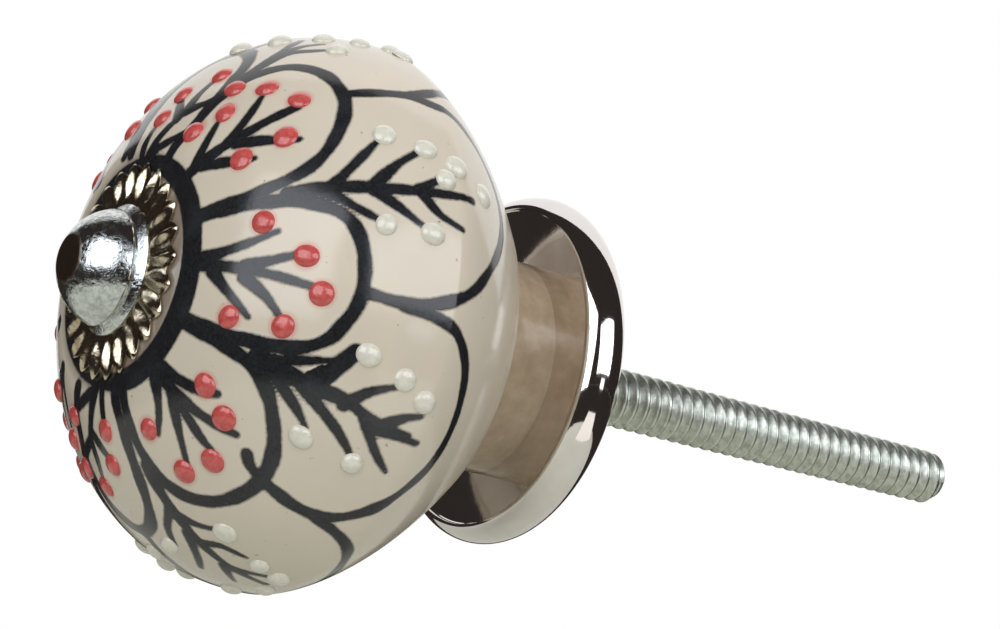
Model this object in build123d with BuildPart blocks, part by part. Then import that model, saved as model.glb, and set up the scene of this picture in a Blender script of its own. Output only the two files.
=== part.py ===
from build123d import *
import os
from math import acos, atan2, cos, degrees, radians, sin

# Painted ceramic cabinet knob. The knob's axis is Y: the mounting face lies at Y = 0, the front
# of the knob points to -Y and the mounting bolt runs out of the back to +Y. Millimetres, Z is up.
# A depth is a distance forward of the mounting face, towards -Y.

# Metal base plate: a round plate with a half-round bead for a rim and a hollow back
base_radius = 13.1
bead_radius = 2.0
lip_depth = 3.7          # front edge of the bead, which stands proud of the plate's face
lip_land = 0.2           # width of the lip's sharp crest
face_drop = 0.3          # from the lip down to the plate's face
plate_thickness = 1.0
recess_radius = 9.3      # the hollow back, open at the mounting face

# Bolt: domed cone head with a thin sloping flange, and a shank with a thread at its free end
bolt_reach = 41.1        # from the mounting face to the tip
thread_radius = 2.35
shank_radius = 2.05      # plain shank inside the knob, and the thread's root under the nut
tip_chamfer = 0.45
hole_clearance = 0.3     # round the shank, in the base plate and in the rosette
bore_clearance = 0.7     # round the shank, in the ceramic
flange_radius = 4.65
flange_edge = 0.1        # thickness of the flange at its edge
flange_thickness = 0.45  # and at the waist between flange and head
waist_radius = 3.8
head_radius = 4.15       # of the head, just above the waist
head_start = 0.45        # from the waist to that widest place
head_height = 3.15       # from the waist to the edge of the blunt tip
head_bulge = 0.41        # of the head's side, beyond a straight cone
blunt_radius = 1.7
blunt_dome = 0.15

# Nut in the hollow back, which pulls the pieces together
nut_flats = 8.3
nut_thickness = 2.1
nut_chamfer = 0.5
nut_clearance = 0.04     # round the shank

# Ceramic body, turned: neck, undercut, back, widest ring, crown and a flat seat at the front.
# Front and back of the widest ring are superellipses, fuller at the crown than at the back.
body_radius = 20.0
neck_radius = 8.0
neck_length = 6.1        # from the base plate's face to the body's underside
underside_radius = 12.1
crease_radius = 14.5     # a slight edge where the glazed back begins
widest_height = 16.6     # widest ring, from the base plate's face
crown_rise = 15.9        # the crown's full height above the widest ring
crown_fullness = 2.175
back_drop = 16.9
back_fullness = 1.42
seat_radius = 8.2
seat_height = 31.2       # flat front seat, from the base plate's face
seat_start_latitude = 56
underside_chamfer = 0.4

# Rosette: a stamped washer, pleated into flutes with a pointed edge
flute_count = 24
rosette_radius = 7.8
notch_depth = 0.75       # how far the zigzag edge cuts in between two flutes
rosette_thickness = 0.35
collar_height = 0.6      # the washer's middle, which carries the bolt's flange
collar_margin = 0.3      # of the collar round the flange
flute_height = 0.75      # a flute's ridge above the washer's sheet at the edge
flute_foot = 0.25        # and at the collar

# Raised dots of glaze, as low buttons. Latitudes are on the superellipses: 0 at
# the widest ring, 90 at the front. Azimuths are about the axis, from +Z towards +X.
petal_count = 8
first_petal = -2.0       # azimuth of the middle of the first inner petal
dot_sides = 8
dot_root = 0.1           # of a dot's foot, below the ceramic's surface
dot_width = 1.7          # red dots, in the inner petals
dot_height = 0.35
inner_dots = [(-12.5, 48.5), (-7.0, 39.5), (1.5, 34.5), (11.5, 40), (13.5, 52)]
bead_width = 1.3         # white dots, in the outer petals, which stand between the inner ones
bead_height = 0.4
outer_dots = [(-11.5, 17), (-9.0, 7.5), (-6.0, 0.5), (-3.5, -13), (9.5, 8.5), (9.0, 19)]

face_depth = lip_depth - face_drop
recess_depth = face_depth - plate_thickness
bead_centre_radius = base_radius - bead_radius
hole_radius = shank_radius + hole_clearance
widest_depth = face_depth + widest_height
underside_depth = face_depth + neck_length
seat_depth = face_depth + seat_height
collar_depth = seat_depth + collar_height
collar_radius = flange_radius + collar_margin
nut_depth = recess_depth - nut_thickness
petal_pitch = 360 / petal_count


def at(radius, depth):
    """A point of a turned outline, in the XY plane."""
    return (radius, -depth)


def body_outline(latitude):
    """Radius and depth of the ceramic's surface at a latitude."""
    in_front = latitude >= 0
    fullness = crown_fullness if in_front else back_fullness
    reach = crown_rise if in_front else -back_drop
    radius = body_radius * cos(radians(latitude)) ** (2 / fullness)
    return radius, widest_depth + reach * sin(radians(abs(latitude))) ** (2 / fullness)


def body_slope(latitude):
    """Angle of the ceramic's outward normal from the radial direction, towards the front."""
    in_front = latitude >= 0
    fullness = crown_fullness if in_front else back_fullness
    reach = crown_rise if in_front else back_drop
    outward = cos(radians(latitude)) ** (2 - 2 / fullness) / body_radius
    forward = sin(radians(abs(latitude))) ** (2 - 2 / fullness) / reach
    return degrees(atan2(forward if in_front else -forward, outward))


def dot_plane(azimuth, latitude):
    """Plane of a dot's foot, sunk below the ceramic's surface along its normal."""
    turn, tilt = radians(azimuth), radians(body_slope(latitude))
    radius, depth = body_outline(latitude)
    normal = Vector(cos(tilt) * sin(turn), -sin(tilt), cos(tilt) * cos(turn))
    surface = Vector(radius * sin(turn), -depth, radius * cos(turn))
    return Plane(surface - normal * dot_root, z_dir=normal)


# Base plate
with BuildPart() as base_plate:
    with BuildSketch() as plate_section:
        lip_offset = lip_depth - bead_radius
        lip_radius = bead_centre_radius + (bead_radius**2 - lip_offset**2) ** 0.5
        with BuildLine():
            bead = ThreePointArc(
                at(bead_centre_radius, 0),
                at(base_radius, bead_radius),
                at(lip_radius, lip_depth),
            )
            Polyline(
                bead @ 1,
                at(lip_radius - lip_land, lip_depth),
                at(lip_radius - lip_land - face_drop, face_depth),
                at(hole_radius, face_depth),
                at(hole_radius, recess_depth),
                at(recess_radius, recess_depth),
                at(recess_radius, 0),
                bead @ 0,
            )
        make_face()
    revolve(axis=Axis.Y)
base_plate.part.label = "base_plate"

# Nut, seated in the hollow back
with BuildPart() as retaining_nut:
    with BuildSketch(Plane.XZ.offset(nut_depth)):
        RegularPolygon(nut_flats / 2, 6, major_radius=False)
        Circle(shank_radius + nut_clearance, mode=Mode.SUBTRACT)
    extrude(amount=nut_thickness)
    corner = nut_flats / 3**0.5
    with BuildSketch() as nut_corners:
        with BuildLine():
            Polyline(
                at(corner - nut_chamfer, nut_depth),
                at(corner + nut_chamfer, nut_depth),
                at(corner + nut_chamfer, nut_depth + nut_chamfer),
                at(corner, nut_depth + nut_chamfer / 2),
                close=True,
            )
        make_face()
    revolve(axis=Axis.Y, mode=Mode.SUBTRACT)
retaining_nut.part.label = "retaining_nut"

# Ceramic body, with its dots of glaze
crease_latitude = -degrees(acos((crease_radius / body_radius) ** (back_fullness / 2)))
with BuildPart() as ceramic_body:
    with BuildSketch() as body_section:
        with BuildLine():
            back_latitudes = [crease_latitude * share for share in (1, 0.7, 0.42, 0.22, 0.08, 0)]
            back = Spline(
                *[at(*body_outline(latitude)) for latitude in back_latitudes],
                tangents=[(back_drop, -body_radius), (0, -1)],
                tangent_scalars=[0.6, 1],
            )
            crown_latitudes = [seat_start_latitude * share for share in (0, 0.25, 0.5, 0.75, 1)]
            crown = Spline(
                *[at(*body_outline(latitude)) for latitude in crown_latitudes],
                at(seat_radius, seat_depth),
                tangents=[(0, -1), (-1, 0)],
            )
            bore_radius = shank_radius + bore_clearance
            Polyline(
                crown @ 1,
                at(bore_radius, seat_depth),
                at(bore_radius, face_depth),
                at(neck_radius, face_depth),
                at(neck_radius, underside_depth),
                at(underside_radius, underside_depth),
                back @ 0,
            )
        make_face()
        underside_edge = body_section.vertices().sort_by_distance((underside_radius, -underside_depth))[0]
        chamfer(underside_edge, underside_chamfer)
    revolve(axis=Axis.Y)

    for dots, offset, width, height in (
        (inner_dots, 0, dot_width, dot_height),
        (outer_dots, petal_pitch / 2, bead_width, bead_height),
    ):
        spots = []
        for petal in range(petal_count):
            middle = first_petal + petal * petal_pitch + offset
            spots += [dot_plane(middle + turn, latitude) for turn, latitude in dots]
        with BuildSketch(*spots):
            RegularPolygon(width / 2, dot_sides)
        extrude(amount=dot_root + height)
ceramic_body.part.label = "ceramic_body"

# Rosette washer
with BuildPart() as rosette_washer:
    with BuildSketch(Plane.XZ.offset(seat_depth)):
        with BuildLine():
            valley_radius = rosette_radius - notch_depth
            edge = []
            for step in range(2 * flute_count):
                reach = rosette_radius if step % 2 == 0 else valley_radius
                turn = radians(step * 180 / flute_count)
                edge.append((reach * sin(turn), reach * cos(turn)))
            Polyline(*edge, close=True)
        make_face()
        Circle(hole_radius, mode=Mode.SUBTRACT)
    extrude(amount=rosette_thickness)
    with BuildSketch(Plane.XZ.offset(seat_depth)):
        Circle(collar_radius)
        Circle(hole_radius, mode=Mode.SUBTRACT)
    extrude(amount=collar_height)
    flute_width = 2 * valley_radius * sin(radians(90 / flute_count))
    flute_start = flange_radius + collar_margin / 3
    collar_width = 2 * flute_start * sin(radians(90 / flute_count))
    sheet_front = seat_depth + rosette_thickness
    overlap = rosette_thickness / 2
    for flute in range(flute_count):
        turn = flute * 360 / flute_count
        outward = (sin(radians(turn)), 0, cos(radians(turn)))
        across = (-cos(radians(turn)), 0, sin(radians(turn)))
        ends = ((flute_start, collar_width, flute_foot), (valley_radius, flute_width, flute_height))
        for radius, width, height in ends:
            spot = Vector(outward) * radius + Vector(0, -sheet_front, 0)
            with BuildSketch(Plane(spot, x_dir=across, z_dir=outward)):
                with BuildLine():
                    Polyline(
                        (-width / 2, 0),
                        (-width / 2, -overlap),
                        (width / 2, -overlap),
                        (width / 2, 0),
                        (0, height),
                        close=True,
                    )
                make_face()
        loft()
rosette_washer.part.label = "rosette_washer"

# Bolt with its head
with BuildPart() as cap_bolt:
    with BuildSketch():
        waist_depth = collar_depth + flange_thickness
        foot = Vector(at(head_radius, waist_depth + head_start))
        brow = Vector(at(blunt_radius, waist_depth + head_height))
        outward = Vector(foot.Y - brow.Y, brow.X - foot.X).normalized()
        blunt_depth = waist_depth + head_height + blunt_dome
        blunt_curve = (blunt_radius**2 + blunt_dome**2) / (2 * blunt_dome)
        with BuildLine():
            RadiusArc(brow, at(0, blunt_depth), blunt_curve)
            side = ThreePointArc(brow, (foot + brow) / 2 + outward * head_bulge, foot)
            Polyline(
                side @ 1,
                at(waist_radius, waist_depth),
                at(flange_radius, collar_depth + flange_edge),
                at(flange_radius, collar_depth),
                at(shank_radius, collar_depth),
                at(shank_radius, nut_depth),
                at(thread_radius, nut_depth),
                at(thread_radius, tip_chamfer - bolt_reach),
                at(thread_radius - tip_chamfer, -bolt_reach),
                at(0, -bolt_reach),
                at(0, blunt_depth),
            )
        make_face()
    revolve(axis=Axis.Y)
cap_bolt.part.label = "cap_bolt"

os.makedirs("parts", exist_ok=True)
export_step(base_plate.part, "parts/base_plate.step")
export_step(retaining_nut.part, "parts/retaining_nut.step")
export_step(ceramic_body.part, "parts/ceramic_body.step")
export_step(rosette_washer.part, "parts/rosette_washer.step")
export_step(cap_bolt.part, "parts/cap_bolt.step")
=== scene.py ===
import random
from bisect import bisect_left
from math import asin, atan2, cos, hypot, pi, radians, sin, tan

import bpy
from mathutils import Matrix, Vector
from mathutils.kdtree import KDTree


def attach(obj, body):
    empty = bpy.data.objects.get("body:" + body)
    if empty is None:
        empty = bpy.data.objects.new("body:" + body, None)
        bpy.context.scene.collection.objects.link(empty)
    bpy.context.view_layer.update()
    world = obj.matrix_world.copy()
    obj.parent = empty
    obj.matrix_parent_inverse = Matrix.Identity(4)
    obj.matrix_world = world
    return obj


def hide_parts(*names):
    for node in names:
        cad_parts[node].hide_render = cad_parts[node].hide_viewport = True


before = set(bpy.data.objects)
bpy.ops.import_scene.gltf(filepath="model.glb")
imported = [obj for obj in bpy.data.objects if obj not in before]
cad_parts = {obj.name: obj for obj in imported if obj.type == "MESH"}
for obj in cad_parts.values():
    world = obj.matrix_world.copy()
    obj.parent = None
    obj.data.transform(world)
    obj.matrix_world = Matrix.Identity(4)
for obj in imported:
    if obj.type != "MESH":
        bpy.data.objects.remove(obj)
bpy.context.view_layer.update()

# The knob's axis is Y. Its front points to -Y, the mounting bolt to +Y, and a depth is a distance
# forward of the mounting face. Sizes are in millimetres, and mm turns them into metres.
mm = 0.001
knobAxis = (0, 1, 0)


# Helpers

def deselectAll():
    if bpy.context.object and bpy.context.object.mode != "OBJECT":
        bpy.ops.object.mode_set(mode="OBJECT")
    bpy.ops.object.select_all(action="DESELECT")


def editAll(piece):
    deselectAll()
    piece.select_set(True)
    bpy.context.view_layer.objects.active = piece
    bpy.ops.object.mode_set(mode="EDIT")
    bpy.ops.mesh.select_all(action="SELECT")


def closeMesh(piece, smoothAngle=35):
    # merge what coincides, turn the faces outwards and smooth all but the sharp edges
    editAll(piece)
    bpy.ops.mesh.remove_doubles(threshold=0.0005 * mm)
    bpy.ops.mesh.normals_make_consistent(inside=False)
    bpy.ops.object.mode_set(mode="OBJECT")
    bpy.ops.object.shade_smooth_by_angle(angle=radians(smoothAngle))


def applyModifier(piece, kind, **values):
    modifier = piece.modifiers.new(kind.title(), kind)
    for name, value in values.items():
        setattr(modifier, name, value)
    deselectAll()
    piece.select_set(True)
    bpy.context.view_layer.objects.active = piece
    bpy.ops.object.modifier_apply(modifier=modifier.name)


def outlineObject(name, outline):
    # one vertex, drawn on through the outline's points of (radius, depth)
    deselectAll()
    bpy.ops.mesh.primitive_plane_add(size=mm)
    piece = bpy.context.object
    piece.name = name
    bpy.ops.object.mode_set(mode="EDIT")
    bpy.ops.mesh.select_all(action="SELECT")
    bpy.ops.mesh.merge(type="COLLAPSE")
    bpy.ops.transform.translate(value=(outline[0][0] * mm, -outline[0][1] * mm, 0))
    for (radius, depth), (nextRadius, nextDepth) in zip(outline, outline[1:]):
        step = ((nextRadius - radius) * mm, (depth - nextDepth) * mm, 0)
        bpy.ops.mesh.extrude_vertices_move(TRANSFORM_OT_translate={"value": step})
    bpy.ops.object.mode_set(mode="OBJECT")
    return piece


def turnedPiece(name, outline, steps, smoothAngle=35):
    piece = outlineObject(name, outline)
    editAll(piece)
    bpy.ops.mesh.spin(steps=steps, angle=2 * pi, center=(0, 0, 0), axis=knobAxis)
    closeMesh(piece, smoothAngle)
    return piece


def arc(centre, radius, start, end, count):
    # points on a circle in the outline's plane, angles in degrees from the radius direction
    points = []
    for step in range(count + 1):
        angle = radians(start + (end - start) * step / count)
        points.append((centre[0] + radius * cos(angle), centre[1] + radius * sin(angle)))
    return points


def finishPiece(piece, material, slot, *nodes):
    piece.data.materials.clear()
    piece.data.materials.append(material)
    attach(piece, "root")
    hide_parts(*nodes)
    print("made", piece.name, "with", len(piece.data.polygons), "faces")


# Materials

def newMaterial(name):
    material = bpy.data.materials.new(name)
    material.use_nodes = True
    tree = material.node_tree
    return material, tree, tree.nodes["Principled BSDF"]


def addNode(tree, kind, inputs=(), **values):
    node = tree.nodes.new("ShaderNode" + kind)
    for name, value in values.items():
        setattr(node, name, value)
    for socket, value in dict(inputs).items():
        if isinstance(value, bpy.types.NodeSocket):
            tree.links.new(value, node.inputs[socket])
        else:
            node.inputs[socket].default_value = value
    return node


def objectPlace(tree):
    return addNode(tree, "TexCoord").outputs["Object"]


def noise(tree, scale, detail=2.0, roughness=0.5):
    node = addNode(tree, "TexNoise", {"Vector": objectPlace(tree), "Scale": scale, "Detail": detail,
                                      "Roughness": roughness})
    return node.outputs["Fac"]


def remap(tree, value, low, high, toLow=0.0, toHigh=1.0):
    node = addNode(tree, "MapRange", {"Value": value, "From Min": low, "From Max": high,
                                      "To Min": toLow, "To Max": toHigh})
    return node.outputs["Result"]


def maths(tree, operation, first, second=0.0):
    return addNode(tree, "Math", {0: first, 1: second}, operation=operation).outputs[0]


def blendColours(tree, factor, first, second):
    node = addNode(tree, "Mix", {"Factor": factor, 6: first, 7: second}, data_type="RGBA")
    return node.outputs[2]


def bumpFrom(tree, height, strength, distance):
    node = addNode(tree, "Bump", {"Height": height, "Strength": strength, "Distance": distance})
    return node.outputs["Normal"]


def attribute(tree, name):
    return addNode(tree, "Attribute", attribute_name=name).outputs["Fac"]


def srgb(red, green, blue):
    # a colour as it looks on a screen, 0 to 255, made linear
    linear = []
    for level in (red / 255, green / 255, blue / 255):
        linear.append(level / 12.92 if level <= 0.04045 else ((level + 0.055) / 1.055) ** 2.4)
    return (*linear, 1)


glazeLook = {
    "ivory": srgb(212, 201, 184),
    "ivoryGrey": srgb(203, 194, 180),
    "speck": srgb(160, 134, 106),
    "blush": srgb(206, 138, 128),    # the red's halo in the glaze
    "ink": srgb(25, 25, 27),
    "inkPale": srgb(52, 54, 60),
    # bare clay tones, darkened as painted shade on the underside and neck
    "clayInShade": srgb(180, 161, 138),
    "clayInShadeDark": srgb(160, 141, 117),
    "rosetteShade": srgb(126, 113, 101),    # painted shade round the rosette, standing in for its shadow on the ceramic
    "edgeSoftness": 0.1,    # mm, half the width over which a brush stroke fades out
    "roughness": 0.16,
}


def glazeMaterial():
    material, tree, shader = newMaterial("ivoryGlaze")
    look = glazeLook
    cloud = noise(tree, 260, 3)
    base = blendColours(tree, cloud, look["ivory"], look["ivoryGrey"])
    grain = noise(tree, 1900, 1)
    speck = remap(tree, noise(tree, 420, 1), 0.45, 0.6)
    speck = maths(tree, "MULTIPLY", remap(tree, grain, 0.74, 0.8), speck)
    base = blendColours(tree, speck, base, look["speck"])
    # brush strokes: the signed distance from a stroke's edge, roughened, decides paint or glaze
    edge = attribute(tree, "ink")
    ragged = remap(tree, noise(tree, 2600, 3, 0.65), 0.3, 0.7, -0.03, 0.03)
    edge = maths(tree, "ADD", edge, ragged)
    soft = look["edgeSoftness"]
    cover = remap(tree, edge, soft, -soft)
    # the underside and the neck are bare, brownish clay, made darker as painted shade under the body
    place = addNode(tree, "SeparateXYZ", {"Vector": objectPlace(tree)}).outputs
    depth = place["Y"]
    uneven = maths(tree, "ADD", depth, remap(tree, cloud, 0, 1, -0.0004, 0.0004))
    bareAndShaded = remap(tree, uneven, -0.0099, -0.0092)
    cloudy = remap(tree, noise(tree, 700, 4, 0.6), 0.35, 0.7)
    clayInShade = blendColours(tree, cloudy, look["clayInShade"], look["clayInShadeDark"])
    base = blendColours(tree, bareAndShaded, base, clayInShade)
    # painted shade: the ceramic just round the rosette is darkened in place of the rosette's shadow
    square = maths(tree, "ADD", maths(tree, "MULTIPLY", place["X"], place["X"]),
                   maths(tree, "MULTIPLY", place["Z"], place["Z"]))
    front = maths(tree, "LESS_THAN", depth, -0.034)
    rosetteShade = maths(tree, "MULTIPLY", remap(tree, square, 0.0089**2, 0.0079**2, 0, 0.8), front)
    base = blendColours(tree, rosetteShade, base, look["rosetteShade"])
    streak = remap(tree, noise(tree, 3800, 4, 0.7), 0.35, 0.75)
    thin = remap(tree, noise(tree, 330, 2), 0.52, 0.74)
    paint = blendColours(tree, maths(tree, "MULTIPLY", streak, 0.55), look["ink"], look["inkPale"])
    paint = blendColours(tree, maths(tree, "MULTIPLY", thin, 0.45), paint, look["inkPale"])
    base = blendColours(tree, remap(tree, attribute(tree, "blush"), 0.3, -0.05, 0, 0.6), base, look["blush"])
    colour = blendColours(tree, cover, base, paint)
    tree.links.new(colour, shader.inputs["Base Color"])
    shader.inputs["Roughness"].default_value = look["roughness"]
    shader.inputs["IOR"].default_value = 1.5
    relief = maths(tree, "ADD", noise(tree, 180, 2), maths(tree, "MULTIPLY", cover, 0.25))
    relief = maths(tree, "ADD", relief, maths(tree, "MULTIPLY", grain, 0.06))
    tree.links.new(bumpFrom(tree, relief, 0.35, 0.0002), shader.inputs["Normal"])
    return material


def dotMaterial(name, colour, deepColour, roughness):
    material, tree, shader = newMaterial(name)
    mottle = remap(tree, noise(tree, 2400, 3, 0.6), 0.3, 0.7)
    tree.links.new(blendColours(tree, mottle, colour, deepColour), shader.inputs["Base Color"])
    shader.inputs["Roughness"].default_value = roughness
    shader.inputs["Coat Weight"].default_value = 0.5
    shader.inputs["Coat Roughness"].default_value = 0.08
    tree.links.new(bumpFrom(tree, noise(tree, 2200, 2), 0.3, 0.0002), shader.inputs["Normal"])
    return material


def platedMaterial(name, colour, dullColour, roughness, dullRoughness, grainScale, bump, distance):
    # bright plating with duller, rougher patches and a fine grain
    material, tree, shader = newMaterial(name)
    shader.inputs["Metallic"].default_value = 1
    patch = remap(tree, noise(tree, grainScale, 5, 0.62), 0.42, 0.66)
    tree.links.new(blendColours(tree, patch, colour, dullColour), shader.inputs["Base Color"])
    level = addNode(tree, "MapRange", {"Value": patch, "To Min": roughness, "To Max": dullRoughness})
    tree.links.new(level.outputs["Result"], shader.inputs["Roughness"])
    relief = maths(tree, "ADD", noise(tree, grainScale * 0.6, 3), maths(tree, "MULTIPLY", patch, 0.3))
    tree.links.new(bumpFrom(tree, relief, bump, distance), shader.inputs["Normal"])
    return material


def wearTip(material, depth, colour, roughness):
    # forward of a depth, the plating is worn to a dull brown
    tree = material.node_tree
    shader = tree.nodes["Principled BSDF"]
    forward = addNode(tree, "SeparateXYZ", {"Vector": objectPlace(tree)}).outputs["Y"]
    ragged = remap(tree, noise(tree, 1600, 3), 0.3, 0.7, -0.00005, 0.00005)
    worn = remap(tree, maths(tree, "ADD", forward, ragged), -(depth - 0.04) * mm, -(depth + 0.04) * mm)
    plain = shader.inputs["Base Color"].links[0].from_socket
    smooth = shader.inputs["Roughness"].links[0].from_socket
    tree.links.new(blendColours(tree, worn, plain, colour), shader.inputs["Base Color"])
    level = addNode(tree, "MapRange", {"Value": worn, "To Min": smooth, "To Max": roughness})
    tree.links.new(level.outputs["Result"], shader.inputs["Roughness"])


ivoryGlaze = glazeMaterial()
redGlaze = dotMaterial("redGlaze", srgb(204, 92, 88), srgb(178, 66, 64), 0.2)
whiteGlaze = dotMaterial("whiteGlaze", srgb(222, 220, 208), srgb(208, 205, 192), 0.2)
zincPlate = platedMaterial("zincPlate", srgb(222, 225, 222), srgb(182, 188, 188),
                           0.08, 0.27, 2400, 0.5, 0.00007)
wearTip(zincPlate, 38.82, srgb(112, 92, 78), 0.42)
threadZinc = platedMaterial("threadZinc", srgb(208, 212, 200), srgb(176, 182, 168),
                            0.36, 0.5, 1800, 0.3, 0.00008)
polishedNickel = platedMaterial("polishedNickel", srgb(232, 226, 222), srgb(224, 218, 212),
                                0.05, 0.09, 240, 0.05, 0.0002)
darkNickel = platedMaterial("darkNickel", srgb(214, 200, 176), srgb(166, 148, 120),
                            0.09, 0.22, 2000, 0.3, 0.00008)
nutZinc = platedMaterial("nutZinc", srgb(206, 208, 204), srgb(170, 172, 166),
                         0.18, 0.36, 800, 0.25, 0.0002)
print("materials ready")


# Ceramic body. Front and back of the widest ring are superellipses. A place on it is an azimuth
# about the axis, from +Z towards +X in degrees, and a run: the surface distance from where the
# crown's curve would meet the axis.
ceramic = {
    "radius": 20.0,
    "neckRadius": 8.0,
    "boreRadius": 2.75,
    "footDepth": 3.4,
    "undersideDepth": 9.5,
    "undersideRadius": 12.1,
    "undersideEdge": 0.4,
    "creaseRadius": 14.5,
    "widestDepth": 20.0,
    "crownRise": 15.9,
    "crownFullness": 2.175,
    "backDrop": 16.9,
    "backFullness": 1.42,
    "seatRadius": 8.2,
    "seatDepth": 34.6,
    "seatStart": 11.72,      # radius where the crown starts to turn into the flat seat
    "ringSpacing": 0.225,
    "steps": 540,
}


def bodyPoint(latitude):
    inFront = latitude >= 0
    fullness = ceramic["crownFullness"] if inFront else ceramic["backFullness"]
    reach = ceramic["crownRise"] if inFront else -ceramic["backDrop"]
    radius = ceramic["radius"] * cos(radians(latitude)) ** (2 / fullness)
    depth = ceramic["widestDepth"] + reach * sin(radians(abs(latitude))) ** (2 / fullness)
    return radius, depth


def measureBody():
    # (run, radius, depth) from the crown's centre to the crease, in small steps
    rows = []
    run = 0
    last = bodyPoint(90)
    latitude = 90
    while last[0] > ceramic["creaseRadius"] or latitude > 0:
        radius, depth = bodyPoint(latitude)
        run += hypot(radius - last[0], depth - last[1])
        rows.append((run, radius, depth))
        last = (radius, depth)
        latitude -= 0.05
    return rows


bodyRows = measureBody()


def onBody(run):
    # radius and depth at a run, by halving the list
    low, high = 0, len(bodyRows) - 1
    while high - low > 1:
        middle = (low + high) // 2
        if bodyRows[middle][0] < run:
            low = middle
        else:
            high = middle
    share = (run - bodyRows[low][0]) / (bodyRows[high][0] - bodyRows[low][0])
    share = min(max(share, 0), 1)
    return tuple(bodyRows[low][i] + share * (bodyRows[high][i] - bodyRows[low][i]) for i in (1, 2))


def bodyPlace(azimuth, run):
    radius, depth = onBody(run)
    turn = radians(azimuth)
    return Vector((radius * sin(turn), -depth, radius * cos(turn)))


def bodyNormal(azimuth, run):
    before, after = onBody(run - 0.2), onBody(run + 0.2)
    outward, forward = before[1] - after[1], after[0] - before[0]
    turn = radians(azimuth)
    return Vector((outward * sin(turn), -forward, outward * cos(turn))).normalized()


def ceramicOutline():
    size = ceramic
    outline = [(radius, size["seatDepth"]) for radius in (size["boreRadius"], 4, 5.4, 6, 6.5, 7, 7.4, 7.8)]
    outline.append((size["seatRadius"], size["seatDepth"]))
    # from the flat seat round into the crown
    startRun = next(row[0] for row in bodyRows if row[1] >= size["seatStart"])
    endRun = bodyRows[-1][0]
    edge = Vector(onBody(startRun))
    slope = (edge - Vector(onBody(startRun + 0.1))).normalized()
    flat = Vector((size["seatRadius"], size["seatDepth"]))
    reach = (edge - flat).length
    for step in range(1, 17):
        t = step / 17
        bend = (2 * t**3 - 3 * t**2 + 1) * flat + (3 * t**2 - 2 * t**3) * edge
        bend += (t**3 - 2 * t**2 + t) * reach * Vector((1, 0)) - (t**3 - t**2) * reach * slope
        outline.append(tuple(bend))
    rings = int((endRun - startRun) / size["ringSpacing"])
    outline += [onBody(startRun + (endRun - startRun) * ring / rings) for ring in range(rings + 1)]
    # back: a slight crease, the strip under it, the underside and the neck
    edge = size["undersideEdge"]
    outline += [
        (size["creaseRadius"] - 0.25, onBody(endRun)[1] - 0.25),
        (size["undersideRadius"] + 0.9, size["undersideDepth"] + 0.72),
        (size["undersideRadius"] + 0.25, size["undersideDepth"] + 0.25),
    ]
    outline += arc((size["undersideRadius"] - edge, size["undersideDepth"] + edge), edge, -30, -90, 5)
    outline += [
        (size["neckRadius"] + 1.6, size["undersideDepth"]),
        (size["neckRadius"] + 0.5, size["undersideDepth"] - 0.1),
        (size["neckRadius"] + 0.1, size["undersideDepth"] - 0.5),
        (size["neckRadius"], size["undersideDepth"] - 1.2),
        (size["neckRadius"], size["footDepth"]),
        (size["boreRadius"], size["footDepth"]),
        (size["boreRadius"], size["seatDepth"]),
    ]
    return outline


# The painting: a black ring round the seat, eight inner petals with red-dotted sprigs, and eight
# outer petals with white-dotted sprigs. Four of each are drawn, as (azimuth, run) points, and
# repeated half a turn on. A stroke is (width at its start, width at its end, points).
painting = {
    "ring": {"outer": 8.25, "outerRise": 2.3, "inner": 7.2, "innerRise": 1.25, "wideAzimuth": 95,
             "reach": 14},
    "sampleStep": 0.09,
    "far": 2.0,              # distance kept for points that lie further from all paint
    "repeats": (0, 180),
}

innerOutlines = [
    (1.05, 0.95, [(23, 9), (22, 12), (20.5, 15), (21, 17), (24.5, 19.3), (31, 20.9), (38, 21.5), (44.5, 21.4),
                  (51, 20.6), (57, 19.4), (61, 18), (63.8, 16), (65.5, 13.5), (66.5, 9.5)]),
    (1.0, 1.0, [(68, 9.5), (68.3, 14), (69.5, 17.5), (72.2, 19.9), (75.5, 21.1), (80.5, 21.8), (86, 22.1),
                (91.5, 22), (96, 21.4), (100.5, 20.5), (104, 18.7), (106, 16), (107.5, 13), (108, 9.5)]),
    (1.1, 1.1, [(109.5, 9.5), (110, 13), (111.3, 15.8), (115, 17.7), (121, 19.1), (128, 20.2), (135, 20.55),
                (142, 20.1), (149, 19.1), (155.5, 17.3), (159.3, 14.9), (160.5, 12), (158, 9.3)]),
    (1.2, 1.1, [(164.5, 9), (165.5, 12), (168, 15.5), (173, 18), (181, 19.2), (188, 18.6), (194, 17.1),
                (199, 14.3), (202, 11.5), (202.5, 9)]),
    (0.9, 0.8, [(132, 18.8), (133.8, 19.3), (135.3, 20.3)]),    # a blob on the third petal's line
]

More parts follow.
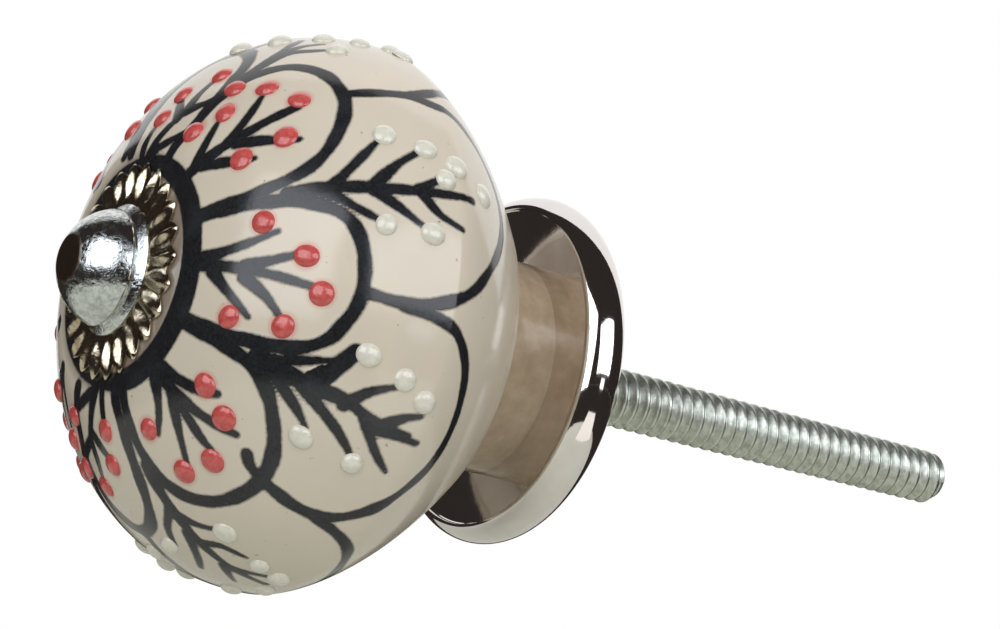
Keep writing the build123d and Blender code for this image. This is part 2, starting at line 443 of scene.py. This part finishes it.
innerSprigs = [
    (1.2, 0.8, [(44, 9.8), (43, 12.5), (43, 14), (41.5, 18.3)]),
    (1.04, 0.52, [(42, 10.3), (36, 11.6), (31, 13)]),
    (1.04, 0.52, [(42.5, 13), (37, 15), (32, 16.5)]),
    (1.04, 0.57, [(46, 10.8), (51.5, 13.2), (53.5, 14.5)]),
    (1.04, 0.52, [(45, 13.5), (50.5, 16.5), (52, 17.8)]),
    (1.3, 0.6, [(133.5, 9.8), (133, 12.5), (131.5, 15), (129.5, 17.5)]),
    (1.17, 0.66, [(131, 10), (127.5, 12.8), (123.5, 15)]),
    (1.17, 0.47, [(135, 10), (142, 11.8), (149, 13.2)]),
    (1.1, 0.47, [(134.5, 12), (141, 14), (147, 16.2)]),
    (1.04, 0.47, [(134.5, 13), (137, 15.5), (137.5, 16.8)]),
    (1.3, 0.8, [(177, 7.6), (182, 8), (184.5, 8.9), (187, 10.1), (191.5, 12.3)]),
    (1.1, 0.6, [(191.5, 12.3), (197, 13.4), (200.5, 14.8)]),
    (1.1, 0.6, [(191, 12.3), (189.5, 13.7), (189.6, 15.2)]),
    (1.1, 0.6, [(189.5, 11.5), (183, 12.7), (180, 13.4)]),
    (1.1, 0.6, [(177.5, 7.8), (176.5, 9.2), (177.2, 10.8)]),
    (1.1, 0.6, [(184.5, 8.4), (196, 9.7), (203.5, 11.1)]),
    (1.1, 0.6, [(87, 10), (87.5, 13), (88.5, 16), (90, 19.2)]),
    (1.04, 0.47, [(85, 10.5), (81.5, 13), (77, 16)]),
    (1.04, 0.47, [(87, 14), (84.5, 16), (82.5, 17.8)]),
    (1.04, 0.47, [(89.5, 11.5), (95, 13), (100.5, 15)]),
    (1.04, 0.47, [(90, 14), (94, 15.8), (98.5, 17.2)]),
]

outerOutlines = [
    (1.0, 0.9, [(40.8, 21.8), (41, 24), (41, 26.3)]),
    (0.9, 0.9, [(41, 26), (42.5, 28), (44, 30.5), (48, 33), (55, 34.8), (63, 35), (71, 34), (79, 32),
                (84.5, 30), (88, 27.5), (89.5, 25), (89, 22.5)]),
    (0.9, 1.0, [(89.8, 25), (91.5, 28.5), (95, 30.3), (101, 31.6), (111, 32.2), (120, 31.6), (127, 29.8),
                (133, 27.8), (136.5, 25.8), (137, 23.5), (135.5, 20.8)]),
    (0.9, 0.9, [(137, 24.5), (138.5, 26.2), (141, 28), (145, 29.3), (152, 30.2), (160, 30.6), (168, 30.2),
                (175, 29), (180.5, 27), (182.5, 24.5), (182, 19.5)]),
    (0.9, 0.9, [(182.6, 25), (185, 27.8), (190, 30), (196, 31.4), (203, 32), (210, 31.4), (215, 30),
                (218.8, 28), (221, 26.1)]),
]

outerSprigs = [
    # between the first and second inner petals
    (1.2, 0.6, [(67, 16.5), (66.5, 20), (66.5, 24), (66, 27), (65, 30)]),
    (1.04, 0.47, [(66.5, 19.5), (60.5, 21.3), (55, 23)]),
    (1.04, 0.47, [(67, 19), (71, 21), (73.5, 22.6)]),
    (1.04, 0.47, [(66.5, 22.2), (61, 24), (57, 25.8)]),
    (1.04, 0.47, [(67, 22.3), (71, 24.3), (74, 25.9)]),
    (0.91, 0.43, [(66, 25.5), (63, 27), (61, 27.8)]),
    (0.91, 0.43, [(66.5, 25.6), (70.5, 27), (72.5, 28.8)]),
    # between the second and third, smudged
    (1.3, 0.7, [(109, 16.5), (110.5, 20), (111, 23), (113, 25), (114.5, 28)]),
    (1.04, 0.47, [(110.5, 17.4), (116, 20), (119.5, 21.3)]),
    (1.04, 0.47, [(111, 19.8), (117.5, 23.3), (121.5, 24.9)]),
    (0.91, 0.43, [(113.2, 24.6), (119, 26.3), (122.5, 27.7)]),
    (1.04, 0.47, [(114.5, 25), (114.8, 27), (115.3, 29)]),
    (1.04, 0.47, [(113.5, 26), (111, 27.3), (109.8, 28.5)]),
    (1.04, 0.47, [(112, 23), (108, 24.3), (105.5, 26)]),
    (1.7, 1.2, [(110, 20.5), (106, 21.5), (101, 22.6)]),
    (0.91, 0.47, [(108.5, 17.5), (105.5, 20), (104, 21.5)]),
    # between the third and fourth
    (1.2, 0.6, [(161.5, 14.5), (162.5, 19), (164, 23), (165, 27)]),
    (0.91, 0.43, [(162.5, 18.2), (158.5, 19.8), (155, 20.8)]),
    (0.91, 0.43, [(163, 21), (159, 22), (157.5, 23.8)]),
    (0.91, 0.43, [(164.5, 24), (162, 25.5), (160.5, 26.8)]),
    (1.04, 0.47, [(163, 17.8), (169, 19), (172, 20.5)]),
    (1.04, 0.47, [(164, 20), (169, 22), (173, 23.2)]),
    (0.91, 0.43, [(165, 23.6), (167.5, 24.4), (170, 25.5)]),
    # between the fourth and the first of the repeat
    (1.2, 0.6, [(201.5, 14.5), (199, 17.5), (196.5, 19.6), (190.5, 22.5)]),
    (1.04, 0.47, [(200, 16.4), (198, 20), (200.5, 22), (202, 23.5)]),
    (0.91, 0.43, [(196.3, 19.8), (195, 21.5), (196, 23.2)]),
]

# Raised dots of glaze, at the tips of the twigs
redDots = [(29.8, 17.1), (39.2, 18.6), (50, 16.9), (29.2, 13.8), (51.5, 13.6), (74.2, 14.9), (83, 18.1),
           (91, 19.5), (100.2, 17.5), (102.2, 13.6), (123.8, 13.9), (128, 16.2), (139.8, 17.2),
           (149.2, 16.3), (151.8, 12.5), (177.5, 11.3), (179, 13.8), (189.5, 15.8), (201.5, 15.3),
           (205.5, 11.5)]
whiteDots = [(53.5, 23.5), (56.2, 26.3), (58.8, 28.6), (61.5, 31.6), (74.8, 26.5), (74.5, 23.2), (62.5, 27.6),
             (103.8, 26.4), (107, 28.3), (101, 23.5), (121.8, 21.3), (122.8, 25.2), (154.5, 21.3), (158, 25),
             (160, 27), (174.5, 20.5), (177, 26.7), (168, 27.6), (186, 21.6), (191.5, 23.8), (201.8, 23.6),
             (195.5, 26.4), (196, 28.8), (200, 29)]


def smoothLine(points):
    # a curve through the points, as places on the body with the share of the way along
    ends = [points[0]] + points + [points[-1]]
    line = []
    for index in range(1, len(ends) - 2):
        a, b, c, d = ends[index - 1:index + 3]
        length = (bodyPlace(*c) - bodyPlace(*b)).length
        count = max(int(length / painting["sampleStep"]), 2)
        for step in range(count):
            t = step / count
            spot = []
            for k in (0, 1):
                spot.append(0.5 * (2 * b[k] + (c[k] - a[k]) * t
                                   + (2 * a[k] - 5 * b[k] + 4 * c[k] - d[k]) * t**2
                                   + (3 * b[k] - a[k] - 3 * c[k] + d[k]) * t**3))
            line.append((spot, (index - 1 + t) / (len(points) - 1)))
    line.append((points[-1], 1))
    return line


def brushSamples():
    # points along every stroke: place on the body and half the width
    hand = random.Random(4)
    samples = []
    for turn in painting["repeats"]:
        for strokes, wander in ((innerOutlines, 0), (outerOutlines, 0), (innerSprigs, 1), (outerSprigs, 1)):
            for startWidth, endWidth, points in strokes:
                shift = wander * (hand.uniform(-0.8, 0.8) if turn else 0)
                phase = hand.uniform(0, 6)
                for (azimuth, run), share in smoothLine(points):
                    width = startWidth + (endWidth - startWidth) * share
                    width *= 1 + 0.08 * sin(phase + run * 2.1) + 0.05 * sin(phase * 2 + azimuth * 0.9)
                    samples.append((bodyPlace(azimuth + turn + shift, run), width / 2))
    return samples


def paintBody(piece):
    samples = brushSamples()
    tree = KDTree(len(samples))
    for index, sample in enumerate(samples):
        tree.insert(sample[0], index)
    tree.balance()
    ring = painting["ring"]
    radii = [row[1] for row in bodyRows]
    ink = piece.data.attributes.new("ink", "FLOAT", "POINT")
    blush = piece.data.attributes.new("blush", "FLOAT", "POINT")
    redTree = KDTree(len(redDots) * len(painting["repeats"]))
    for turn in painting["repeats"]:
        for azimuth, run in redDots:
            redTree.insert(bodyPlace(azimuth + turn, run), 0)
    redTree.balance()
    for vertex in piece.data.vertices:
        place = vertex.co / mm
        best = rim = painting["far"]
        radius = hypot(place.x, place.z)
        if -place.y > ceramic["undersideDepth"] + 2 and radius > 4:
            for _, index, distance in tree.find_n(place, 10):
                best = min(best, distance - samples[index][1])
            rim = redTree.find(place)[2] - dots["redWidth"] / 2
            # the ring is wider, and bare inside, on the side of wideAzimuth
            turn = atan2(place.x, place.z)
            wide = max(0, cos(turn - radians(ring["wideAzimuth"])))
            wobble = 0.06 * sin(3 * turn + 1) + 0.04 * sin(8 * turn)
            outer = ring["outer"] + ring["outerRise"] * wide**1.1 + wobble
            inner = ring["inner"] + ring["innerRise"] * wide**2
            if -place.y > ceramic["widestDepth"] and radius < ring["reach"]:
                run = bodyRows[bisect_left(radii, radius)][0]
                best = min(best, max(run - outer, inner - run))
        ink.data[vertex.index].value = best
        blush.data[vertex.index].value = rim
    print("painted with", len(samples), "brush points")


dots = {
    "redWidth": 1.7,
    "redHeight": 0.36,
    "whiteWidth": 1.7,
    "whiteHeight": 0.45,
    "seat": 0.06,            # how far a dot's rim lies in the glaze
}


def makeDots(name, places, width, height, material):
    # one dot is shaped from a ball: cut in half and lowered to its height
    deselectAll()
    bpy.ops.mesh.primitive_uv_sphere_add(segments=28, ring_count=18, radius=width / 2 * mm)
    first = bpy.context.object
    editAll(first)
    bpy.ops.mesh.bisect(plane_co=(0, 0, 0), plane_no=(0, 0, 1), clear_inner=True, use_fill=True)
    bpy.ops.mesh.select_all(action="SELECT")
    bpy.ops.transform.resize(value=(1, 1, (height + dots["seat"]) / (width / 2)), center_override=(0, 0, 0))
    closeMesh(first, 70)
    hand = random.Random(len(places) * 7)
    copies = []
    for turn in painting["repeats"]:
        for azimuth, run in places:
            run = run + (hand.uniform(-0.25, 0.25) if turn else 0)
            spread = Vector((hand.uniform(0.88, 1.1), hand.uniform(0.88, 1.1), hand.uniform(0.85, 1.12)))
            normal = bodyNormal(azimuth + turn, run)
            facing = normal.to_track_quat("Z", "Y").to_matrix()
            spin = Matrix.Rotation(hand.uniform(0, 2 * pi), 3, "Z")
            place = bodyPlace(azimuth + turn, run) - normal * dots["seat"]
            copy = first.copy()
            copy.data = first.data.copy()
            bpy.context.collection.objects.link(copy)
            shape = (facing @ spin @ Matrix.Diagonal(spread)).to_4x4()
            copy.data.transform(Matrix.Translation(place * mm) @ shape)
            copies.append(copy)
    bpy.data.objects.remove(first)
    deselectAll()
    for copy in copies:
        copy.select_set(True)
    bpy.context.view_layer.objects.active = copies[0]
    bpy.ops.object.join()
    piece = bpy.context.object
    piece.name = name
    finishPiece(piece, material, "glazed_ceramic", "ceramic_body")
    return piece


ceramicBody = turnedPiece("ceramicBody", ceramicOutline(), ceramic["steps"])
paintBody(ceramicBody)
finishPiece(ceramicBody, ivoryGlaze, "glazed_ceramic", "ceramic_body")
makeDots("redDots", redDots, dots["redWidth"], dots["redHeight"], redGlaze)
makeDots("whiteDots", whiteDots, dots["whiteWidth"], dots["whiteHeight"], whiteGlaze)


# Rosette washer: thin sheet pressed into flutes, sharp on their ridges and round in their gutters.
# Each ridge runs out in a point that bends down to the ceramic.
rosette = {
    "flutes": 24,
    "radius": 7.7,
    "notch": 0.9,
    "sheet": 0.22,
    "holeRadius": 2.35,
    "collarRadius": 4.6,
    "collarDepth": 35.2,
    "seatDepth": 34.6,
    "ridgeRise": 0.16,
    "pointFall": 0.4,
    "across": 12,
    "along": 14,
}


def rosetteSheet():
    size = rosette
    deselectAll()
    bpy.ops.mesh.primitive_grid_add(x_subdivisions=size["across"], y_subdivisions=size["along"], size=2)
    piece = bpy.context.object
    piece.name = "rosetteWasher"
    pitch = 2 * pi / size["flutes"]
    collarTop = size["collarDepth"] - size["sheet"] / 2
    gutterFloor = size["seatDepth"] + size["sheet"] / 2
    for vertex in piece.data.vertices:
        across, along = vertex.co.x, (vertex.co.y + 1) / 2
        ridge = abs(across)                      # 1 on a ridge, 0 in the gutter's middle
        edge = size["radius"] - size["notch"] * (1 - ridge) ** 1.3
        radius = size["collarRadius"] + (edge - size["collarRadius"]) * along
        gutter = gutterFloor + (collarTop - gutterFloor) * (1 - along) ** 3
        top = collarTop + size["ridgeRise"] * sin(pi * along) - size["pointFall"] * along ** 5
        depth = gutter + (top - gutter) * ridge ** 2
        turn = across * pitch / 2
        vertex.co = (radius * sin(turn) * mm, -depth * mm, radius * cos(turn) * mm)
    return piece


def makeRosette():
    size = rosette
    piece = rosetteSheet()
    editAll(piece)
    bpy.ops.mesh.spin(steps=size["flutes"], dupli=True, angle=2 * pi, center=(0, 0, 0), axis=knobAxis)
    bpy.ops.mesh.select_all(action="SELECT")
    bpy.ops.mesh.remove_doubles(threshold=0.004 * mm)
    # the collar, from the flutes in to the hole
    bpy.ops.mesh.select_all(action="DESELECT")
    bpy.ops.object.mode_set(mode="OBJECT")
    for vertex in piece.data.vertices:
        vertex.select = hypot(vertex.co.x, vertex.co.z) < (size["collarRadius"] + 0.02) * mm
    bpy.ops.object.mode_set(mode="EDIT")
    share = size["holeRadius"] / size["collarRadius"]
    bpy.ops.mesh.extrude_edges_move()
    bpy.ops.transform.resize(value=(share, 1, share), center_override=(0, 0, 0))
    bpy.ops.mesh.select_all(action="SELECT")
    bpy.ops.mesh.normals_make_consistent(inside=False)
    bpy.ops.object.mode_set(mode="OBJECT")
    if sum(face.normal.y for face in piece.data.polygons) > 0:
        piece.data.flip_normals()
    applyModifier(piece, "SOLIDIFY", thickness=size["sheet"] * mm, offset=0)
    applyModifier(piece, "BEVEL", width=0.03 * mm, segments=2, limit_method="ANGLE", angle_limit=radians(50))
    closeMesh(piece, 45)
    finishPiece(piece, darkNickel, "nickel_plate", "rosette_washer")
    return piece


rosetteWasher = makeRosette()


# Bolt: a domed cone head on a thin sloping flange, a plain shank inside the knob, a rolled thread
bolt = {
    "collarDepth": 35.2,
    "flangeRadius": 4.65,
    "waistDepth": 35.65,
    "waistRadius": 3.78,
    "headRadius": 4.15,
    "headStart": 0.45,
    "headHeight": 3.22,
    "headBulge": 0.41,
    "bluntRadius": 1.7,
    "bluntDome": 0.06,
    "burr": 0.03,            # raised edge round the blunt tip
    "shankRadius": 2.05,
    "threadStart": -0.3,
    "tip": 40.4,
    "crestRadius": 2.28,
    "rootRadius": 1.74,
    "taper": 0.08,           # how much the thread narrows up to its tip
    "pitch": 1.0583,
    "tipChamfer": 0.45,
    "threadSteps": 56,
}


def capOutline():
    size = bolt
    waist = size["waistDepth"]
    foot = Vector((size["headRadius"], waist + size["headStart"]))
    brow = Vector((size["bluntRadius"], waist + size["headHeight"]))
    outline = []
    for step in range(9):
        share = step / 9
        outline.append((brow.x * share, brow.y + size["bluntDome"] * (1 - share * share)))
    outline += [(brow.x - 0.07, brow.y + 0.01), (brow.x - 0.02, brow.y + size["burr"])]
    # the head's side, a bow between its brow and its foot
    along = foot - brow
    outward = Vector((-along.y, along.x)).normalized()
    for step in range(1, 24):
        share = step / 24
        outline.append(tuple(brow + along * share + outward * size["headBulge"] * 4 * share * (1 - share)))
    outline += [
        tuple(foot),
        (foot.x - 0.01, waist + 0.35),
        (foot.x - 0.05, waist + 0.26),
        (foot.x - 0.13, waist + 0.19),
        (size["waistRadius"] + 0.2, waist + 0.16),
        (size["waistRadius"] + 0.16, waist + 0.13),
        (size["waistRadius"] + 0.2, waist + 0.1),
        (size["waistRadius"] + 0.4, waist - 0.03),
        (size["waistRadius"] + 0.62, waist - 0.19),
        (size["flangeRadius"] - 0.06, size["collarDepth"] + 0.13),
        (size["flangeRadius"], size["collarDepth"] + 0.07),
        (size["flangeRadius"] - 0.02, size["collarDepth"] + 0.02),
        (size["flangeRadius"] - 0.06, size["collarDepth"]),
        (size["shankRadius"], size["collarDepth"]),
        (size["shankRadius"], -size["threadStart"]),
        (0, -size["threadStart"]),
    ]
    return outline


capBolt = turnedPiece("capBolt", capOutline(), 128, 14)
finishPiece(capBolt, zincPlate, "zinc_plate", "cap_bolt")


def makeThread():
    size = bolt
    crest, root, pitch = size["crestRadius"], size["rootRadius"], size["pitch"]
    # one tooth from root to root, rounded at its crest
    tooth = [(root, 0), (root + 0.02, 0.07), (crest - 0.1, 0.36), (crest - 0.025, 0.43), (crest, 0.53),
             (crest - 0.025, 0.63), (crest - 0.1, 0.7), (root + 0.02, 0.99), (root, pitch)]
    start = size["threadStart"] - 2 * pitch
    outline = [(radius, -(start + along)) for radius, along in tooth]
    piece = outlineObject("boltThread", outline)
    turns = int((size["tip"] - start) / pitch) + 3
    applyModifier(piece, "SCREW", axis="Y", screw_offset=pitch * mm, iterations=turns, angle=2 * pi,
                  steps=size["threadSteps"], render_steps=size["threadSteps"], use_merge_vertices=True,
                  merge_threshold=0.001 * mm, use_smooth_shade=True)
    editAll(piece)
    bpy.ops.mesh.remove_doubles(threshold=0.002 * mm)
    for place, side in ((size["threadStart"], 1), (size["tip"], -1)):
        bpy.ops.mesh.select_all(action="SELECT")
        bpy.ops.mesh.bisect(plane_co=(0, place * mm, 0), plane_no=(0, side, 0), clear_inner=True,
                            use_fill=True)
    bpy.ops.object.mode_set(mode="OBJECT")
    # the slight taper and the tip's chamfer
    for vertex in piece.data.vertices:
        share = 1 - size["taper"] * max(0, vertex.co.y / (size["tip"] * mm)) ** 1.5
        vertex.co.x *= share
        vertex.co.z *= share
        radius = hypot(vertex.co.x, vertex.co.z)
        allowed = (crest * (1 - size["taper"]) - size["tipChamfer"]) * mm + (size["tip"] * mm - vertex.co.y)
        if radius > allowed:
            vertex.co.x *= allowed / radius
            vertex.co.z *= allowed / radius
    closeMesh(piece, 50)
    finishPiece(piece, threadZinc, "zinc_plate", "cap_bolt")
    return piece


boltThread = makeThread()


# Base plate: a round plate with a half-round bead for a rim, and a hollow back
plate = {
    "radius": 13.1,
    "bead": 2.0,
    "lipDepth": 3.7,
    "lipLand": 0.2,
    "faceDepth": 3.4,
    "backDepth": 2.4,
    "recessRadius": 9.3,
    "holeRadius": 2.35,
}


def plateOutline():
    size = plate
    centre = (size["radius"] - size["bead"], size["bead"])
    lip = asin((size["lipDepth"] - size["bead"]) / size["bead"]) / radians(1)
    lipRadius = centre[0] + size["bead"] * cos(radians(lip))
    return [
        *arc(centre, size["bead"], -90, lip - 3, 40),
        (lipRadius - 0.06, size["lipDepth"] - 0.01),
        (lipRadius - size["lipLand"], size["lipDepth"]),
        (lipRadius - size["lipLand"] - 0.04, size["lipDepth"] - 0.05),
        (lipRadius - size["lipLand"] - 0.08, size["faceDepth"] + 0.05),
        (lipRadius - size["lipLand"] - 0.14, size["faceDepth"]),
        (size["holeRadius"], size["faceDepth"]),
        (size["holeRadius"], size["backDepth"]),
        (size["recessRadius"] - 0.5, size["backDepth"]),
        (size["recessRadius"] - 0.15, size["backDepth"] - 0.15),
        (size["recessRadius"], size["backDepth"] - 0.5),
        (size["recessRadius"], 0.15),
        (size["recessRadius"] + 0.15, 0),
        (centre[0], 0),
    ]


basePlate = turnedPiece("basePlate", plateOutline(), 180, 30)
finishPiece(basePlate, polishedNickel, "polished_nickel", "base_plate")

# The nut keeps its CAD shape
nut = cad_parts["retaining_nut"]
nut.data.materials.clear()
nut.data.materials.append(nutZinc)
print("pieces done")


# Camera, where the photograph was taken from
view = {
    "place": (0.20444, -0.13564, -0.0255),
    "right": (0.55216, 0.81385, 0.18102),
    "up": (0, -0.21712, 0.97615),
    "focalLength": 118.96,
    "sensorWidth": 36,
}


def placeCamera():
    deselectAll()
    bpy.ops.object.camera_add()
    camera = bpy.context.object
    right, up = Vector(view["right"]).normalized(), Vector(view["up"]).normalized()
    back = right.cross(up)
    turn = Matrix((right, back.cross(right), back)).transposed().to_4x4()
    camera.matrix_world = Matrix.Translation(Vector(view["place"])) @ turn
    camera.data.lens = view["focalLength"]
    camera.data.sensor_width = view["sensorWidth"]
    camera.data.clip_start = 0.01
    camera.data.clip_end = 20
    bpy.context.scene.camera = camera


placeCamera()


# Studio: pale floor, white surroundings and soft lamps. What the glaze and the metal mirror is set
# apart from what lights them: a dark room on the camera's side with two bright panels in it.
# A direction is an azimuth about the vertical, from -Y towards +X, and an elevation, in degrees.
studio = {
    "floorHeight": -0.036,
    "floorSize": 6,
    "ambient": 0.5,
    "centre": (0, -0.01, 0),
    "roomRadius": 0.75,
    "window": (-125, 38),    # middle of the round window to the white background, behind the knob
    "windowHalf": 42,        # half its angle
    "clearFloor": 0.078,     # radius of the floor that is left pale under the knob
    "roomColour": (1, 0.82, 0.76),
    "roomGlow": 0.03,
    "paperSize": 0.055,
    "paperPlace": (0.078, 0.006),
    "panelColour": (0.94, 0.98, 1.06),
}


def surroundings():
    world = bpy.data.worlds.new("studio")
    bpy.context.scene.world = world
    world.use_nodes = True
    tree = world.node_tree
    path = addNode(tree, "LightPath")
    seen = maths(tree, "ADD", path.outputs["Is Camera Ray"], path.outputs["Is Glossy Ray"])
    seen = maths(tree, "ADD", seen, path.outputs["Is Transmission Ray"])
    seen = addNode(tree, "Math", {0: seen, 1: 1}, operation="MINIMUM").outputs[0]
    light = addNode(tree, "Mix", {"Factor": seen, 6: (studio["ambient"],) * 3 + (1,), 7: (1, 1, 1, 1)},
                    data_type="RGBA")
    tree.links.new(light.outputs[2], tree.nodes["Background"].inputs["Color"])


def makeFloor():
    deselectAll()
    bpy.ops.mesh.primitive_plane_add(size=studio["floorSize"], location=(0, 0, studio["floorHeight"]))
    floor = bpy.context.object
    floor.name = "floor"
    bpy.ops.object.transform_apply(location=True)
    material, tree, shader = newMaterial("paleFloor")
    shader.inputs["Base Color"].default_value = srgb(214, 216, 206)
    shader.inputs["Roughness"].default_value = 0.7
    path = addNode(tree, "LightPath")
    glow = addNode(tree, "Emission", {"Color": (1, 1, 1, 1), "Strength": 0.5})
    dark = addNode(tree, "Emission", {"Color": (0, 0, 0, 1), "Strength": 0})
    pick = addNode(tree, "MixShader", {0: path.outputs["Is Camera Ray"], 1: dark.outputs[0],
                                       2: glow.outputs[0]})
    both = addNode(tree, "AddShader", {0: shader.outputs[0], 1: pick.outputs[0]})
    tree.links.new(both.outputs[0], tree.nodes["Material Output"].inputs["Surface"])
    floor.data.materials.append(material)


def direction(azimuth, elevation):
    turn, rise = radians(azimuth), radians(elevation)
    return Vector((sin(turn) * cos(rise), -cos(turn) * cos(rise), sin(rise)))


def aim(thing, azimuth, elevation, distance):
    back = direction(azimuth, elevation)
    place = Vector(studio["centre"]) + back * distance
    thing.matrix_world = Matrix.Translation(place) @ back.to_track_quat("Z", "Y").to_matrix().to_4x4()


def softbox(name, azimuth, elevation, distance, width, height, power):
    deselectAll()
    bpy.ops.object.light_add(type="AREA")
    lamp = bpy.context.object
    lamp.name = name
    lamp.data.shape = "RECTANGLE"
    lamp.data.size = width
    lamp.data.size_y = height
    lamp.data.energy = power
    lamp.visible_glossy = False
    aim(lamp, azimuth, elevation, distance)


def mirroredOnly(card, colour, strength):
    # glows in reflections; the camera doesn't see it and it lights nothing
    material, tree, shader = newMaterial(card.name + "Glow")
    shader.inputs["Base Color"].default_value = (0, 0, 0, 1)
    shader.inputs["Specular IOR Level"].default_value = 0
    shader.inputs["Emission Color"].default_value = (*colour, 1)
    shader.inputs["Emission Strength"].default_value = strength
    card.data.materials.append(material)
    card.visible_camera = False
    card.visible_diffuse = False
    card.visible_shadow = False


def panel(name, azimuth, elevation, distance, width, height, colour, strength):
    # width and height are angles seen from the knob
    deselectAll()
    bpy.ops.mesh.primitive_plane_add(size=2 * distance)
    card = bpy.context.object
    card.name = name
    aim(card, azimuth, elevation, distance)
    card.scale = (tan(radians(width / 2)), tan(radians(height / 2)), 1)
    mirroredOnly(card, colour, strength)


def darkRoom():
    size = studio
    deselectAll()
    bpy.ops.mesh.primitive_uv_sphere_add(segments=64, ring_count=32, radius=size["roomRadius"],
                                         location=size["centre"])
    room = bpy.context.object
    room.name = "darkRoom"
    editAll(room)
    middle = direction(*size["window"])
    edge = Vector(size["centre"]) + middle * size["roomRadius"] * cos(radians(size["windowHalf"]))
    bpy.ops.mesh.bisect(plane_co=edge, plane_no=middle, clear_outer=True)
    bpy.ops.mesh.select_all(action="SELECT")
    bpy.ops.mesh.bisect(plane_co=(0, 0, size["floorHeight"] + 0.002), plane_no=(0, 0, 1), clear_inner=True)
    bpy.ops.object.mode_set(mode="OBJECT")
    mirroredOnly(room, size["roomColour"], size["roomGlow"])
    deselectAll()
    bpy.ops.mesh.primitive_circle_add(vertices=64, radius=size["clearFloor"],
                                      location=(0, size["centre"][1], size["floorHeight"] + 0.001))
    ring = bpy.context.object
    ring.name = "darkFloorRing"
    editAll(ring)
    bpy.ops.mesh.extrude_edges_move()
    share = size["roomRadius"] / size["clearFloor"]
    bpy.ops.transform.resize(value=(share, share, 1))
    bpy.ops.object.mode_set(mode="OBJECT")
    mirroredOnly(ring, size["roomColour"], size["roomGlow"])


def brightPaper():
    # a bright sheet on the floor, mirrored low in the base plate's bead
    deselectAll()
    place = (*studio["paperPlace"], studio["floorHeight"] + 0.0015)
    bpy.ops.mesh.primitive_plane_add(size=studio["paperSize"], location=place)
    sheet = bpy.context.object
    sheet.name = "brightPaper"
    mirroredOnly(sheet, (1, 0.98, 0.94), 1.1)


surroundings()
makeFloor()
darkRoom()
brightPaper()
panel("leftPanel", 25, 15, 0.5, 50, 52, studio["panelColour"], 3)
panel("rightPanel", 101, 21, 0.5, 56, 32, studio["panelColour"], 3)
panel("lowPanel", 105, -1, 0.5, 15, 6, studio["panelColour"], 2)
softbox("cameraSoftbox", 56, 20, 0.5, 0.4, 0.3, 0.9)
softbox("topSoftbox", 100, 75, 0.5, 0.6, 0.6, 1.2)

viewSettings = bpy.context.scene.view_settings
viewSettings.view_transform = "Standard"

print("scene ready")
